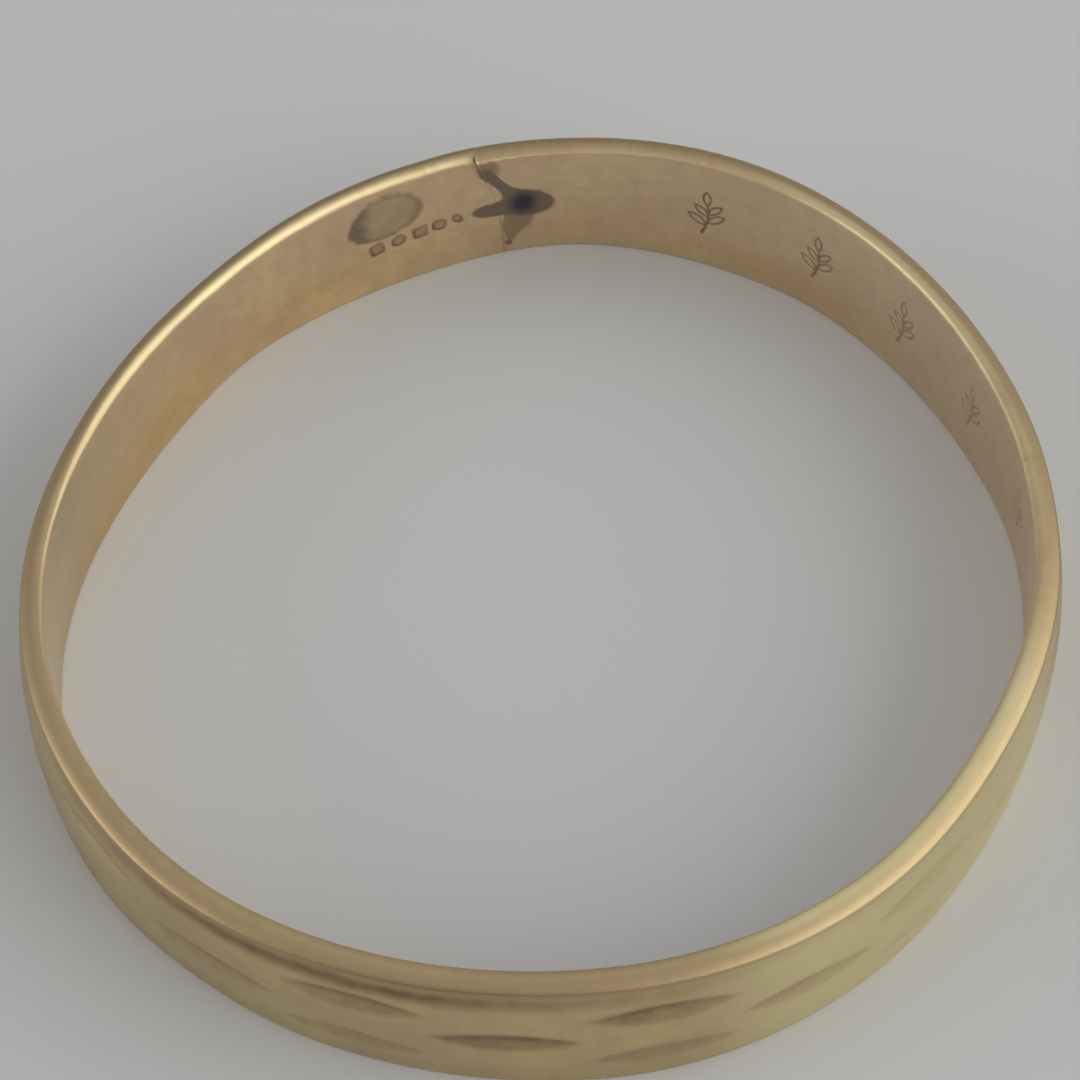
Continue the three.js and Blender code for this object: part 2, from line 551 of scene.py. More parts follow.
# How far along the ring the scorch can reach from its core
SCORCH_REACH = 12.0
# How fast a patch falls away from its middle.  The sum of patches at which the scorch and the haze
# start to show, and how much more makes them full.  Where the core has gone: 1 is its patch's edge
PATCH_FALL = 1.1
SCORCH_SHOWS = (0.36, 0.30)
HAZE_SHOWS = (0.34, 0.30)
CORE_GONE = 1.25
# How ragged the edges of the scorch and of the film are: seed and size
SCORCH_RAGGED = (11, 0.035)
FILM_RAGGED = (12, 0.025)
# The stain's value where the haze and the brown scorch are full; 1 is the core
HAZE_LEVEL = 0.30
SCORCH_LEVEL = 0.62
# The film's patch: angle, height, half length, half height, slant.  How thick it is all over, and
# how much thicker along its edge and at its left end
FILM_PATCH = (109.6, 2.11, 0.86, 0.60, 6.0)
FILM_ALL_OVER = 0.46
FILM_AT_EDGE = 0.26
FILM_AT_LEFT = 0.50
# Where the film ends and how softly, and where its darker edge runs and how wide that is: 1 is the
# patch's edge.  How many degrees left of its middle its left end starts, and over how many it comes
FILM_END, FILM_END_SOFTNESS = 1.06, 0.16
FILM_EDGE_AT, FILM_EDGE_WIDTH = 0.88, 0.10
FILM_LEFT_END = (1.2, 2.4)
WARM_PATCHES = (
    # angle, half width in degrees, height, half height, strength
    (147.0, 12.0, 0.70, 0.75, 0.85),
    (166.0, 9.0, 0.20, 0.45, 0.90),
    (118.0, 14.0, 0.80, 0.60, 0.35),
    (58.0, 16.0, 0.55, 0.50, 0.45),
    (12.0, 7.0, 0.95, 0.40, 0.50),
)
# Dull pinkish tarnish is thickest on the right of the inner wall, and dull olive on the left.
TARNISH_TOWARDS, TARNISH_REACH = 20.0, 70.0
OLIVE_TOWARDS, OLIVE_REACH = 176.0, 26.0

# How far below the upper rim its painted highlight and shade start, and over what height they come
# in.  The thickness at which its outer part, painted brown as shade, starts, and over how much that
# comes in
RIM_TONES_BELOW, RIM_TONES_FADE = 0.26, 0.16
OUTER_PART = (0.18, 0.14)

# Stretches of the ring: middle, half angle and how long their ends fade.  The outer face is rubbed
# and given a painted highlight over one.  The others also say how much painted highlight or painted
# brown shade the rim's inner edge gets there.
RUBBED_AND_SHEEN = (317.0, 36.0, 18.0)
# How much of the rim's painted brown shade gives way to the painted highlight there
SHADE_LIFTED_BY_SHEEN = 0.12
INNER_EDGE_HIGHLIGHT = (
    (118.0, 25.0, 5.0, 1.0),
    (148.0, 20.0, 14.0, 0.55),
    (42.0, 24.0, 12.0, 0.75),
)
INNER_EDGE_SHADE = (
    (236.0, 62.0, 16.0, 0.52),
    (82.0, 18.0, 7.0, 0.45),
)


def patch_distance(degrees, height, angle, middle, half_length, half_height, slant):
    """Distance from a patch's centre, 1 at its edge."""
    x = -turn_apart(degrees, angle) * MM_PER_DEGREE
    z = height - middle
    turn = math.radians(slant)
    along = (x * math.cos(turn) + z * math.sin(turn)) / half_length
    across = (-x * math.sin(turn) + z * math.cos(turn)) / half_height
    return np.hypot(along, across)


def run_together(degrees, height, patches):
    """Sum of soft patches, so that neighbours join."""
    total = np.zeros_like(degrees)
    for angle, middle, half_length, half_height, slant, strength in patches:
        away = patch_distance(degrees, height, angle, middle, half_length, half_height, slant)
        total += strength * np.exp(-PATCH_FALL * away ** 2)
    return total


def stain(degrees, height):
    """The scorch, from 0 to 1: brown round a blue-black core, with a paler haze under it."""
    near = np.abs(turn_apart(degrees, SCORCH_CORE[0])) < SCORCH_REACH
    rough = ragged_edge(degrees, height, *SCORCH_RAGGED)
    brown = soft_step(run_together(degrees, height, SCORCH) + rough, *SCORCH_SHOWS)
    core = smooth_step(CORE_GONE - patch_distance(degrees, height, *SCORCH_CORE) + rough)
    haze = soft_step(run_together(degrees, height, HAZE) + rough, *HAZE_SHOWS)
    brown *= SCORCH_LEVEL + (1.0 - SCORCH_LEVEL) * core
    return np.where(near, np.maximum(brown, HAZE_LEVEL * haze), 0.0)


def film(degrees, height):
    """A dried, grey-olive film over an oval patch of the wall, darker at its edge and left end."""
    away = patch_distance(degrees, height, *FILM_PATCH)
    away += ragged_edge(degrees, height, *FILM_RAGGED)
    inside = smooth_step((FILM_END - away) / FILM_END_SOFTNESS)
    edge = np.exp(-((away - FILM_EDGE_AT) / FILM_EDGE_WIDTH) ** 2)
    left = soft_step(turn_apart(degrees, FILM_PATCH[0]), *FILM_LEFT_END)
    thickness = FILM_ALL_OVER + FILM_AT_EDGE * edge + FILM_AT_LEFT * left
    return np.clip(inside * thickness, 0.0, 1.0)


def warmth(degrees, height):
    """Orange-brown patches of tarnish low on the wall."""
    total = np.zeros_like(degrees)
    for angle, half, middle, reach, strength in WARM_PATCHES:
        away = (turn_apart(degrees, angle) / half) ** 2 + ((height - middle) / reach) ** 2
        total += strength * np.exp(-away)
    return np.clip(total, 0.0, 1.0)


def near_upper_rim(height):
    """1 on the upper rim and 0 lower than its worn edges."""
    return soft_step(height, BAND_WIDTH - RIM_TONES_BELOW, RIM_TONES_FADE)


def stretch(degrees, middle, half, fade):
    """1 within a stretch of the ring and 0 outside it, fading over the ends inside it."""
    return smooth_step((half - np.abs(turn_apart(degrees, middle))) / fade)


def greatest(degrees, stretches):
    """The greatest share that any of the stretches has at each angle."""
    shares = [share * stretch(degrees, *where) for *where, share in stretches]
    return np.max(shares, axis=0)


def rubbed_and_sheen(degrees):
    """Where other rings have rubbed the outer face and it gets a painted highlight, from 0 to 1."""
    return stretch(degrees, *RUBBED_AND_SHEEN)


def rim_highlight_and_shade(degrees, height, offset, on_inside):
    """Painted highlight and painted brown shade on the upper rim, from 0 to 1.  Its outer part is
    painted brown as shade all round, and its inner edge gets a painted highlight in some stretches
    and painted shade in others."""
    on_rim = near_upper_rim(height)
    outer_part = soft_step(offset, *OUTER_PART)
    # painted highlight on the rim's inner edge, in the stretches listed above
    highlight = greatest(degrees, INNER_EDGE_HIGHLIGHT)
    # painted brown shade on the rim's outer part, and on its inner edge in the stretches listed above
    brown = outer_part + (1.0 - outer_part) * greatest(degrees, INNER_EDGE_SHADE)
    brown = brown * (1.0 - SHADE_LIFTED_BY_SHEEN * rubbed_and_sheen(degrees))
    bevel_highlight = on_rim * (1.0 - outer_part) * (1.0 - on_inside) * highlight
    return bevel_highlight, on_rim * brown


# ---------------------------------------------------------------- making the meshes
# The dark line along a seam is thin and fades up the wall, from one height and over another.
SEAM_HALF_ANGLE = 0.10
SEAM_FADE = 0.70
SEAM_FADES = (1.0, 0.8)

# The colours of the inner wall end within this of it.
INSIDE_REACH = 0.045


def sunk_by(degrees, columns, dip):
    """How far the skin has sunk: by the dip midway along the piece, and not at all at its ends."""
    middle = (columns[0] + columns[-1]) / 2
    from_middle = turn_apart(degrees, middle) / ((columns[-1] - columns[0]) / 2)
    return dip * np.cos(from_middle * math.pi / 2) ** 2


def seam_tone(degrees, height, columns, seam):
    """How dark the line midway along a solder joint is."""
    middle = (columns[0] + columns[-1]) / 2
    line = seam * around(degrees, middle, SEAM_HALF_ANGLE)
    return line * (1.0 - SEAM_FADE * soft_step(height, *SEAM_FADES))


def carve(degrees, height, face):
    """How deep the wall is carved, how deep the dome is cut, and the cuts' dirt and painted shade."""
    carved = np.zeros_like(height)
    cuts = np.zeros_like(height)
    dirt_and_shade = np.zeros_like(height)
    on_wall = (face == WALL)
    on_dome = (face == DOME)
    marks = punch_marks(degrees[on_wall], height[on_wall])
    lines = engraving(degrees[on_wall], height[on_wall])
    carved[on_wall] = np.maximum(marks * PUNCH_DEPTH, lines * ENGRAVED_DEPTH)
    cuts[on_dome], dirt_and_shade[on_dome] = outer_cuts(degrees[on_dome], height[on_dome])
    return carved, cuts, dirt_and_shade


def skin_points(degrees, offset, height, face, sunk, carved, cuts):
    """Where the skin's points are, in metres, column by column."""
    on_wall = (face == WALL)
    on_dome = (face == DOME)
    on_rim = (face == RIM)
    skin = sunk + waves(degrees, height, *SKIN_WAVES)
    rim_skin = sunk + np.abs(waves(degrees, offset, *RIM_WAVES))
    across = (offset / EDGE_THICKNESS - 0.5) * 2.0
    away_from_foot = smooth_step(height / BAND_WIDTH * 4.0)
    radius = bore_radius(degrees) + wall_warp(degrees, height) + offset
    radius += np.where(on_wall, skin + carved, 0.0)
    radius -= np.where(on_dome, skin + cuts, 0.0)
    radius -= np.where(on_rim, sunk * np.clip(across, -1.0, 1.0), 0.0)
    z = height - np.where(on_rim, rim_skin * away_from_foot, 0.0)
    angle = np.radians(degrees + joint_lean(degrees, height))
    x = RING_CENTRE[0] + radius * np.cos(angle)
    y = RING_CENTRE[1] + radius * np.sin(angle)
    return np.stack([x, y, z], axis=-1).reshape(-1, 3) * MM


def skin_mesh(name, points, column_count, row_count):
    """A closed mesh over the columns: smooth sides, and a flat face at each end."""
    index = np.arange(column_count * row_count).reshape(column_count, row_count)
    here = index[:-1]
    there = index[1:]
    sides = np.stack(
        [here, np.roll(here, -1, axis=1), np.roll(there, -1, axis=1), there], axis=-1
    ).reshape(-1, 4)
    faces = [tuple(side) for side in sides.tolist()]
    faces.append(tuple(index[0][::-1].tolist()))
    faces.append(tuple(index[-1].tolist()))
    mesh = bpy.data.meshes.new(name)
    mesh.from_pydata(points.tolist(), [], faces)
    mesh.validate()
    mesh.polygons.foreach_set("use_smooth", [True] * (len(faces) - 2) + [False, False])
    return mesh


def add_attribute(mesh, name, values):
    layer = mesh.attributes.new(name, "FLOAT", "POINT")
    layer.data.foreach_set("value", np.ascontiguousarray(values.ravel(), dtype=np.float32))


def add_place(mesh, degrees, height, offset):
    """Each point's place along the ring, up it and out through the wall, in millimetres."""
    layer = mesh.attributes.new("unrolled", "FLOAT_VECTOR", "POINT")
    place = np.stack([degrees * MM_PER_DEGREE, height, offset], axis=-1)
    layer.data.foreach_set("vector", np.ascontiguousarray(place.ravel(), dtype=np.float32))


def swept_piece(name, columns, wall, inner_edge, dip=0.0, seam=0.0):
    """A closed stretch of the ring.  dip is how far its skin sinks midway along it, and seam says
    how dark a line runs down there."""
    offset, height, face = section(wall, inner_edge, edge_wear(columns)[2])
    degrees = np.broadcast_to(columns[:, None], offset.shape).copy()
    carved, cuts, dirt_and_shade = carve(degrees, height, face)
    sunk = sunk_by(degrees, columns, dip)
    points = skin_points(degrees, offset, height, face, sunk, carved, cuts)
    mesh = skin_mesh(name, points, *offset.shape)

    on_wall = (face == WALL)
    past_wall = np.where(on_wall, 0.0, offset - wall[:, None])
    on_inside = smooth_step((INSIDE_REACH - past_wall) / INSIDE_REACH) * (height > 0.0)
    leant = degrees + joint_lean(degrees, height)
    bevel_highlight, brown = rim_highlight_and_shade(degrees, height, offset, on_inside)
    tones = {
        "stain": stain(leant, height) * on_inside,
        "film": film(leant, height) * on_wall,
        "warm": warmth(degrees, height) * on_inside,
        "tarnish": around(degrees, TARNISH_TOWARDS, TARNISH_REACH) * on_inside,
        "olive": around(degrees, OLIVE_TOWARDS, OLIVE_REACH) * on_inside,
        "inside": on_inside,
        "engraved": carved / ENGRAVED_DEPTH,
        # dirt and painted shade in the cuts and the upper groove
        "dirt_and_shade": dirt_and_shade,
        # rubbed wear, with a painted highlight over the right of the front
        "rubbed_and_sheen": rubbed_and_sheen(degrees),
        # painted brown shade on the upper rim
        "edge": brown,
        # painted highlight on the rim's inner edge
        "bevel_highlight": bevel_highlight,
        "scuffed": near_upper_rim(height),
        "seam": seam_tone(degrees, height, columns, seam),
    }
    add_place(mesh, degrees, height, offset)
    for tone, values in tones.items():
        add_attribute(mesh, tone, values)

    piece = bpy.data.objects.new(name, mesh)
    bpy.context.scene.collection.objects.link(piece)
    return piece


def spaced_columns(start, stretches):
    """Angles from the start through stretches that follow one another, each an end and a step."""
    parts = []
    for end, step in stretches:
        count = max(1, round((end - start) / step))
        parts.append(np.linspace(start, end, count, endpoint=False))
        start = end
    parts.append(np.array([start]))
    return np.concatenate(parts)


END_SLIVER = 0.002


def spare_ends(columns):
    """The same angles with a hair-thin first and last step, so that the flat end faces don't shade
    the skin beside them."""
    first = columns[0] + END_SLIVER
    last = columns[-1] - END_SLIVER
    return np.concatenate([columns[:1], [first], columns[1:-1], [last], columns[-1:]])


# The columns of the shank and of the insert: where each stretch of them ends, and its step.  They
# are close together where the wall is marked and stained, and across each sprig.
INSERT_STRETCHES = (
    (73.0, 0.18),
    (86.0, 0.40),
    (INSERT_TO, 0.20),
)
SHANK_STRETCHES = (
    (115.5, 0.20),
    (118.0, 0.50),
    (200.0, 1.00),
    (345.0, 0.60),
)
SPRIG_STEP = 0.18
BETWEEN_SPRIGS_STEP = 0.90

# The right joint was filed, so the shank's inner edge is sharp from there to one angle, and worn from
# another on, going clockwise.
SHARP_UNTIL = 69.0
WORN_FROM = 62.0


def shank():
    start = INSERT_TO + SOLDER_ANGLE
    end = INSERT_FROM - SOLDER_ANGLE + 360.0
    stretches = list(SHANK_STRETCHES)
    for angle in sorted(SPRIG_ANGLES):
        stretches.append((360.0 + angle - SPRIG_HALF_REACH, BETWEEN_SPRIGS_STEP))
        stretches.append((min(360.0 + angle + SPRIG_HALF_REACH, end), SPRIG_STEP))
    columns = spare_ends(spaced_columns(start, stretches))
    wall, inner_edge, _ = edge_wear(columns)
    inner_edge = inner_edge * (1.0 + waves(columns, columns * 0.0, *INNER_EDGE_WAVES))
    filed = smooth_step((columns - 360.0 - WORN_FROM) / (SHARP_UNTIL - WORN_FROM))
    wall = wall * (1.0 - filed)
    inner_edge = inner_edge + (INNER_EDGE_SHARP - inner_edge) * filed
    return swept_piece("gold_band", columns, wall, inner_edge)


def insert():
    columns = spare_ends(spaced_columns(INSERT_FROM, INSERT_STRETCHES))
    inner_edge = np.full_like(columns, INNER_EDGE_SHARP)
    return swept_piece("gold_insert", columns, np.zeros_like(columns), inner_edge)


SOLDER_COLUMNS = 13


def solder(name, start, end, dip, seam):
    columns = spare_ends(np.linspace(start, end, SOLDER_COLUMNS))
    inner_edge = np.full_like(columns, INNER_EDGE_SHARP)
    return swept_piece(name, columns, np.zeros_like(columns), inner_edge, dip, seam)


# ---------------------------------------------------------------- materials
def new_material(name):
    material = bpy.data.materials.new(name)
    material.use_nodes = True
    tree = material.node_tree
    tree.nodes.clear()
    output = tree.nodes.new("ShaderNodeOutputMaterial")
    shader = tree.nodes.new("ShaderNodeBsdfPrincipled")
    tree.links.new(shader.outputs["BSDF"], output.inputs["Surface"])
    return material, tree, shader


def attribute(tree, name):
    node = tree.nodes.new("ShaderNodeAttribute")
    node.attribute_name = name
    return node


def noise(tree, place, scale, detail, roughness, axes=(1.0, 1.0, 1.0)):
    """Noise over a place, drawn out by scaling its axes."""
    mapping = tree.nodes.new("ShaderNodeMapping")
    mapping.inputs["Scale"].default_value = axes
    tree.links.new(place, mapping.inputs["Vector"])
    node = tree.nodes.new("ShaderNodeTexNoise")
    node.inputs["Scale"].default_value = scale
    node.inputs["Detail"].default_value = detail
    node.inputs["Roughness"].default_value = roughness
    tree.links.new(mapping.outputs["Vector"], node.inputs["Vector"])
    return node.outputs["Fac"]


def spread(tree, value, low, high, new_low=0.0, new_high=1.0):
    """Maps low..high to new_low..new_high, clamped."""
    node = tree.nodes.new("ShaderNodeMapRange")
    node.clamp = True
    tree.links.new(value, node.inputs["Value"])
    node.inputs["From Min"].default_value = low
    node.inputs["From Max"].default_value = high
    node.inputs["To Min"].default_value = new_low
    node.inputs["To Max"].default_value = new_high
    return node.outputs["Result"]


def math_node(tree, operation, first, second):
    node = tree.nodes.new("ShaderNodeMath")
    node.operation = operation
    for socket, value in zip(node.inputs, (first, second)):
        if isinstance(value, (int, float)):
            socket.default_value = value
        else:
            tree.links.new(value, socket)
    return node.outputs["Value"]


def mix_colour(tree, share, first, second):
    node = tree.nodes.new("ShaderNodeMix")
    node.data_type = "RGBA"
    tree.links.new(share, node.inputs["Factor"])
    for socket, value in ((node.inputs[6], first), (node.inputs[7], second)):
        if isinstance(value, tuple):
            socket.default_value = (*value, 1.0)
        else:
            tree.links.new(value, socket)
    return node.outputs[2]


# Colours of the gold outside, of its painted highlights and brown shade, and of the gold inside
GOLD = (0.70, 0.555, 0.30)
GOLD_ROSY = (0.63, 0.48, 0.29)
GOLD_DEEP = (0.57, 0.43, 0.205)
GOLD_RUBBED_SHEEN = (0.88, 0.76, 0.425)
EDGE_SHADE_BROWN = (0.47, 0.345, 0.19)
EDGE_HIGHLIGHT_GOLD = (0.78, 0.69, 0.39)
# The gold inside is painted lighter than the gold outside, standing in for how each side is lit
WALL_GOLD = (0.90, 0.69, 0.385)
WALL_ROSY = (0.78, 0.55, 0.345)
WALL_TARNISHED = (0.73, 0.585, 0.425)
WALL_OLIVE = (0.60, 0.49, 0.295)
WALL_WARM = (0.74, 0.48, 0.185)
WALL_DULL = (0.65, 0.49, 0.30)

# Colours of what lies on it; the dirt tone also paints shade in the cuts
FILM_TONE = (0.24, 0.20, 0.145)
HAZE_TONE = (0.38, 0.29, 0.19)
SCORCH_TONE = (0.29, 0.225, 0.17)
SCORCH_CORE_TONE = (0.085, 0.075, 0.10)
ENGRAVED_TONE = (0.23, 0.13, 0.11)
DIRT_AND_SHADE_TONE = (0.26, 0.14, 0.085)


def share_of(tree, name, most):
    """The point attribute of this name, scaled and clamped to 0..most."""
    return spread(tree, attribute(tree, name).outputs["Fac"], 0.0, 1.0, 0.0, most)


def gold_colour(tree, blotches, mottle):
    """Clean gold: painted brown shade and painted highlights along the edges and a painted highlight
    where it is rubbed outside, and tarnished in warm, pinkish and olive patches inside."""
    rosy = spread(tree, blotches, 0.38, 0.66)
    outside = mix_colour(tree, rosy, GOLD, GOLD_ROSY)
    outside = mix_colour(tree, spread(tree, mottle, 0.45, 0.75, 0.0, 0.6), outside, GOLD_DEEP)
    # painted highlight: lighter gold where the outer face is rubbed, over the right of the front
    outside = mix_colour(tree, share_of(tree, "rubbed_and_sheen", 0.90), outside, GOLD_RUBBED_SHEEN)
    # painted highlight on the rim's inner edge
    outside = mix_colour(tree, share_of(tree, "bevel_highlight", 0.90), outside, EDGE_HIGHLIGHT_GOLD)
    # painted brown shade on the rim
    outside = mix_colour(tree, share_of(tree, "edge", 0.90), outside, EDGE_SHADE_BROWN)
    inside = mix_colour(tree, rosy, WALL_GOLD, WALL_ROSY)
    inside = mix_colour(tree, share_of(tree, "tarnish", 0.80), inside, WALL_TARNISHED)
    olive_spots = spread(tree, blotches, 0.35, 0.60, 1.0, 0.60)
    olive = math_node(tree, "MULTIPLY", share_of(tree, "olive", 1.0), olive_spots)
    inside = mix_colour(tree, olive, inside, WALL_OLIVE)
    warm_spots = spread(tree, mottle, 0.30, 0.62, 0.35, 1.0)
    warm = math_node(tree, "MULTIPLY", share_of(tree, "warm", 1.0), warm_spots)
    inside = mix_colour(tree, warm, inside, WALL_WARM)
    inside = mix_colour(tree, spread(tree, mottle, 0.42, 0.68, 0.0, 0.45), inside, WALL_DULL)
    return mix_colour(tree, share_of(tree, "inside", 1.0), outside, inside)


def soiled_colour(tree, colour, mottle):
    """The film, engraving, dirt and painted shade, seam and scorch over the gold.
    Also returns how soiled it is.
    """
    film_spots = spread(tree, mottle, 0.3, 0.6, 0.75, 1.0)
    film_share = math_node(tree, "MULTIPLY", share_of(tree, "film", 0.95), film_spots)
    colour = mix_colour(tree, film_share, colour, FILM_TONE)
    engraved = share_of(tree, "engraved", 0.86)
    colour = mix_colour(tree, engraved, colour, ENGRAVED_TONE)
    dirt_and_shade_spots = spread(tree, mottle, 0.25, 0.65, 0.7, 1.0)
    # dirt and painted shade in the cuts and the upper groove
    dirt_and_shade = math_node(tree, "MULTIPLY", share_of(tree, "dirt_and_shade", 0.90), dirt_and_shade_spots)
    dirt_and_shade = math_node(tree, "MAXIMUM", dirt_and_shade, share_of(tree, "seam", 1.0))
    colour = mix_colour(tree, dirt_and_shade, colour, DIRT_AND_SHADE_TONE)
    scorch = attribute(tree, "stain").outputs["Fac"]
    haze = spread(tree, scorch, 0.0, HAZE_LEVEL, 0.0, 0.85)
    colour = mix_colour(tree, haze, colour, HAZE_TONE)
    brown = spread(tree, scorch, HAZE_LEVEL, SCORCH_LEVEL)
    colour = mix_colour(tree, brown, colour, SCORCH_TONE)
    core = spread(tree, scorch, SCORCH_LEVEL, 1.0)
    colour = mix_colour(tree, core, colour, SCORCH_CORE_TONE)
    soiled = math_node(tree, "MAXIMUM", film_share, engraved)
    for other in (dirt_and_shade, scorch):
        soiled = math_node(tree, "MAXIMUM", soiled, other)
    return colour, soiled


# Roughness of clean gold, and what fine lines, tarnish, scuffs and soiling add to it
CLEAN_ROUGHNESS = 0.18
HAIRLINE_ROUGHNESS = 0.16
CROSS_LINE_ROUGHNESS = 0.10
TARNISH_ROUGHNESS = 0.06
SCUFFED_ROUGHNESS = 0.15
SOILED_ROUGHNESS = 0.30

# Noise over the gold: scale, detail, roughness, and how its axes are scaled to draw it out.  The
# axes run along the ring, up it and out through the wall, in millimetres.
BLOTCHES = (0.55, 3.0, 0.5)
MOTTLE = (2.6, 5.0, 0.6)
HAIRLINES = (1.0, 6.0, 0.72, (1.2, 26.0, 26.0))
CROSS_LINES = (1.0, 5.0, 0.70, (18.0, 2.0, 9.0))

# The fine relief of the skin
RELIEF_STRENGTH = 0.35
RELIEF_DEPTH = 0.004
CROSS_LINE_RELIEF = 0.5
MOTTLE_RELIEF = 0.6


def gold_material(name, dullness=0.0):
    """Worn gold.  Its noise follows the ring round, so that the hairlines run along it."""
    material, tree, shader = new_material(name)
    place = attribute(tree, "unrolled").outputs["Vector"]
    blotches = noise(tree, place, *BLOTCHES)
    mottle = noise(tree, place, *MOTTLE)
    hairlines = noise(tree, place, *HAIRLINES)
    cross_lines = noise(tree, place, *CROSS_LINES)

    colour, soiled = soiled_colour(tree, gold_colour(tree, blotches, mottle), mottle)
    tree.links.new(colour, shader.inputs["Base Color"])
    shader.inputs["Metallic"].default_value = 1.0

    rough = math_node(tree, "MULTIPLY", hairlines, HAIRLINE_ROUGHNESS)
    for more in (
        math_node(tree, "MULTIPLY", cross_lines, CROSS_LINE_ROUGHNESS),
        CLEAN_ROUGHNESS + dullness,
        share_of(tree, "tarnish", TARNISH_ROUGHNESS),
        share_of(tree, "scuffed", SCUFFED_ROUGHNESS),
        math_node(tree, "MULTIPLY", soiled, SOILED_ROUGHNESS),
    ):
        rough = math_node(tree, "ADD", rough, more)
    tree.links.new(rough, shader.inputs["Roughness"])

    crossing = math_node(tree, "MULTIPLY", cross_lines, CROSS_LINE_RELIEF)
    lines = math_node(tree, "ADD", hairlines, crossing)
    relief = math_node(tree, "ADD", lines, math_node(tree, "MULTIPLY", mottle, MOTTLE_RELIEF))
    bump = tree.nodes.new("ShaderNodeBump")
    bump.inputs["Strength"].default_value = RELIEF_STRENGTH
    bump.inputs["Distance"].default_value = RELIEF_DEPTH * MM
    tree.links.new(relief, bump.inputs["Height"])
    tree.links.new(bump.outputs["Normal"], shader.inputs["Normal"])
    return material


PAPER = (0.620, 0.628, 0.618)
PAPER_GREYER = (0.600, 0.610, 0.612)
PAPER_ROUGHNESS = 0.75
# Noise over the paper: scale per metre, detail and roughness
PAPER_GRAIN = (900.0, 6.0, 0.6)
PAPER_CLOUDS = (22.0, 3.0, 0.5)
PAPER_GRAIN_STRENGTH = 0.25
PAPER_GRAIN_DEPTH = 0.02


def paper_material():
    material, tree, shader = new_material("pale_paper")
    coordinates = tree.nodes.new("ShaderNodeTexCoord")
    grain = noise(tree, coordinates.outputs["Object"], *PAPER_GRAIN)
    clouds = noise(tree, coordinates.outputs["Object"], *PAPER_CLOUDS)
    tone = mix_colour(tree, spread(tree, clouds, 0.35, 0.65), PAPER, PAPER_GREYER)
    tree.links.new(tone, shader.inputs["Base Color"])
    shader.inputs["Roughness"].default_value = PAPER_ROUGHNESS
    bump = tree.nodes.new("ShaderNodeBump")
    bump.inputs["Strength"].default_value = PAPER_GRAIN_STRENGTH
    bump.inputs["Distance"].default_value = PAPER_GRAIN_DEPTH * MM
    tree.links.new(grain, bump.inputs["Height"])
    tree.links.new(bump.outputs["Normal"], shader.inputs["Normal"])
    return material


# ---------------------------------------------------------------- camera, floor and light
# The camera looks at AIM from the front, this far above the horizon and this far away.
CAMERA_ELEVATION = 54.0
CAMERA_DISTANCE = 79.65
CAMERA_ROLL = -1.2
CAMERA_LENS = 138.0
SENSOR_WIDTH = 36.0
AIM = (-0.037, 0.535, 2.01)


def make_camera():
    data = bpy.data.cameras.new("camera")
    data.lens = CAMERA_LENS
    data.sensor_width = SENSOR_WIDTH
    data.clip_start = 0.001
    data.clip_end = 10.0
    camera = bpy.data.objects.new("camera", data)
    tilt = Matrix.Rotation(math.radians(90.0 - CAMERA_ELEVATION), 4, "X")
    roll = Matrix.Rotation(math.radians(CAMERA_ROLL), 4, "Z")
    turn = tilt @ roll
    back = turn @ Vector((0.0, 0.0, CAMERA_DISTANCE * MM))
    camera.matrix_world = Matrix.Translation(Vector(AIM) * MM + back) @ turn
    bpy.context.scene.collection.objects.link(camera)
    bpy.context.scene.camera = camera


# In metres
FLOOR_HALF_SIZE = 0.6


def make_floor():
    size = FLOOR_HALF_SIZE
    mesh = bpy.data.meshes.new("floor")
    corners = [(-size, -size, 0.0), (size, -size, 0.0), (size, size, 0.0), (-size, size, 0.0)]
    mesh.from_pydata(corners, [], [(0, 1, 2, 3)])
    mesh.materials.append(paper_material())
    floor = bpy.data.objects.new("floor", mesh)
    bpy.context.scene.collection.objects.link(floor)


def area_light(name, bearing, elevation, distance, size, power, colour):
    """A soft oblong light that faces the ring from a bearing and an elevation."""
    data = bpy.data.lights.new(name, "AREA")
    data.shape = "RECTANGLE"
    data.size = size[0]
    data.size_y = size[1]
    data.energy = power
    data.color = colour
    light = bpy.data.objects.new(name, data)
    turn = math.radians(bearing)
    lift = math.radians(elevation)
    way = Vector((math.cos(lift) * math.cos(turn), math.cos(lift) * math.sin(turn), math.sin(lift)))
    light.location = way * distance
    light.rotation_euler = way.to_track_quat("Z", "Y").to_euler()
    bpy.context.scene.collection.objects.link(light)


# The room: a soft even grey, dark low on the side that the camera is on and dim low at the back.
ROOM_COLOUR = (0.95, 0.97, 1.0)
ROOM_DARK_COLOUR = (0.22, 0.20, 0.19)
ROOM_DIM_COLOUR = (0.45, 0.43, 0.42)
ROOM_STRENGTH = 0.57
ROOM_DARK_TOWARDS = (-0.22, -0.93, 0.28)
ROOM_DARK_COSINES = (0.55, 0.96)
ROOM_DIM_TOWARDS = (-0.25, 0.95, 0.16)
ROOM_DIM_COSINES = (0.70, 0.97)


def nearness(tree, direction, towards, low, high):
    """0 where the cosine of the angle to `towards` is low, and 1 where it is high."""
    cosine = tree.nodes.new("ShaderNodeVectorMath")
    cosine.operation = "DOT_PRODUCT"
    tree.links.new(direction, cosine.inputs[0])
    cosine.inputs[1].default_value = towards
    return spread(tree, cosine.outputs["Value"], low, high)


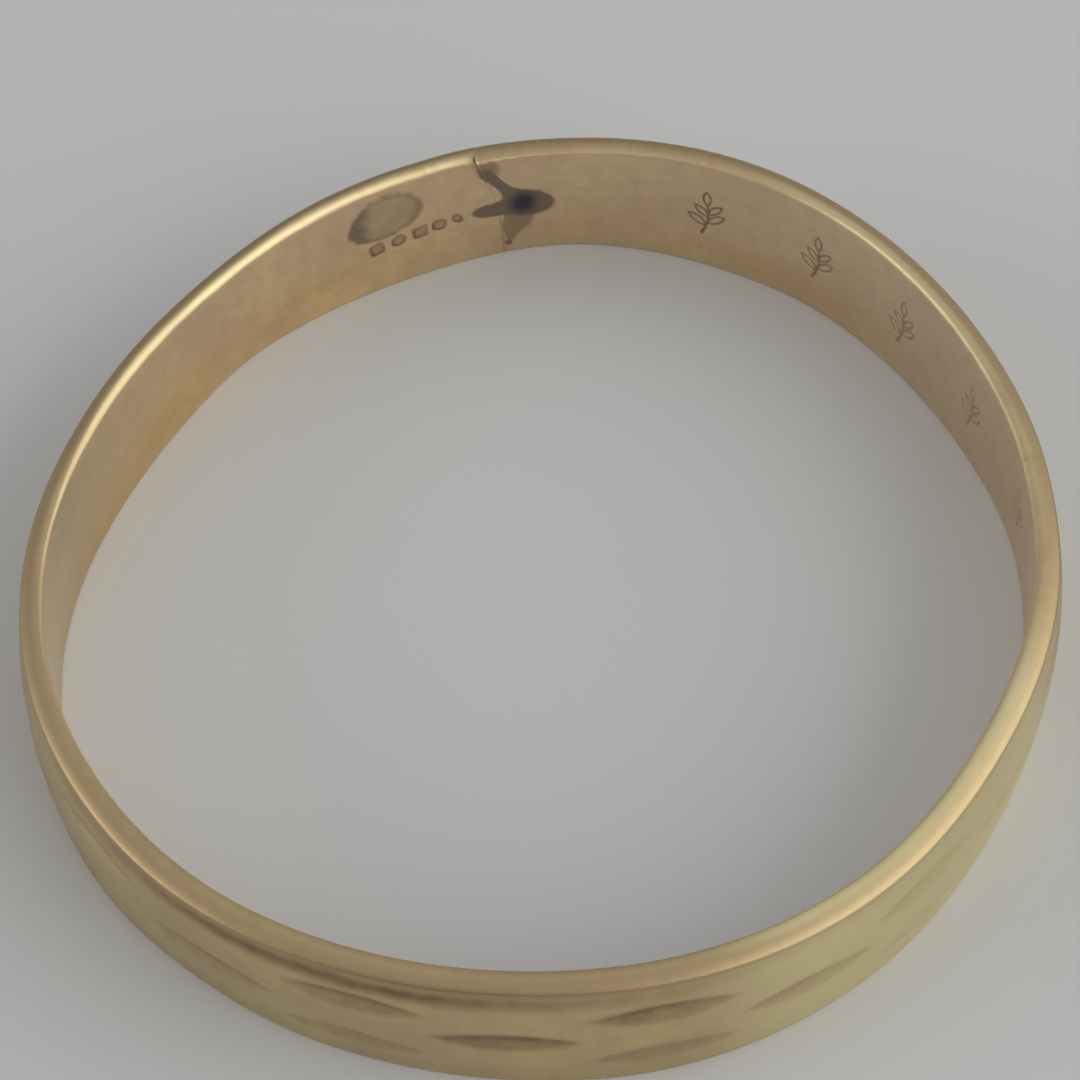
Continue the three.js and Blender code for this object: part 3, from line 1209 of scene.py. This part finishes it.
def make_room():
    world = bpy.data.worlds.new("studio")
    world.use_nodes = True
    tree = world.node_tree
    background = tree.nodes["Background"]
    direction = tree.nodes.new("ShaderNodeTexCoord").outputs["Generated"]
    dim = nearness(tree, direction, ROOM_DIM_TOWARDS, *ROOM_DIM_COSINES)
    dark = nearness(tree, direction, ROOM_DARK_TOWARDS, *ROOM_DARK_COSINES)
    colour = mix_colour(tree, dim, ROOM_COLOUR, ROOM_DIM_COLOUR)
    colour = mix_colour(tree, dark, colour, ROOM_DARK_COLOUR)
    tree.links.new(colour, background.inputs["Color"])
    background.inputs["Strength"].default_value = ROOM_STRENGTH
    bpy.context.scene.world = world


LIGHTS = (
    # name, bearing, elevation, distance and size in metres, power in watts, colour
    ("window", -18.0, 33.0, 0.45, (0.80, 0.36), 1.20, (1.0, 0.99, 0.95)),
    ("left_fill", 190.0, 22.0, 0.45, (0.30, 0.16), 0.35, (1.0, 0.98, 0.93)),
)


# ---------------------------------------------------------------- the scene
make_camera()
make_floor()
make_room()
for light in LIGHTS:
    area_light(*light)
bpy.context.scene.view_settings.view_transform = "Standard"

# How far each solder joint has sunk, and how dark the line along it is
LEFT_DIP, LEFT_SEAM = 0.006, 0.50
RIGHT_DIP, RIGHT_SEAM = 0.001, 0.08
LEFT_JOINT = (INSERT_TO, INSERT_TO + SOLDER_ANGLE)
RIGHT_JOINT = (INSERT_FROM - SOLDER_ANGLE, INSERT_FROM)

pieces = (
    (shank(), "band", "worn_gold", gold_material("worn_gold")),
    (insert(), "sizing_insert", "insert_gold", gold_material("insert_gold")),
    (solder("left_solder", *LEFT_JOINT, LEFT_DIP, LEFT_SEAM),
     "solder_joint_left", "gold_solder", gold_material("left_solder_gold", 0.08)),
    (solder("right_solder", *RIGHT_JOINT, RIGHT_DIP, RIGHT_SEAM),
     "solder_joint_right", "gold_solder", gold_material("right_solder_gold", 0.02)),
)
for piece, node, slot, material in pieces:
    piece.data.materials.append(material)
    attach(piece, "root")
    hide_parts(node)
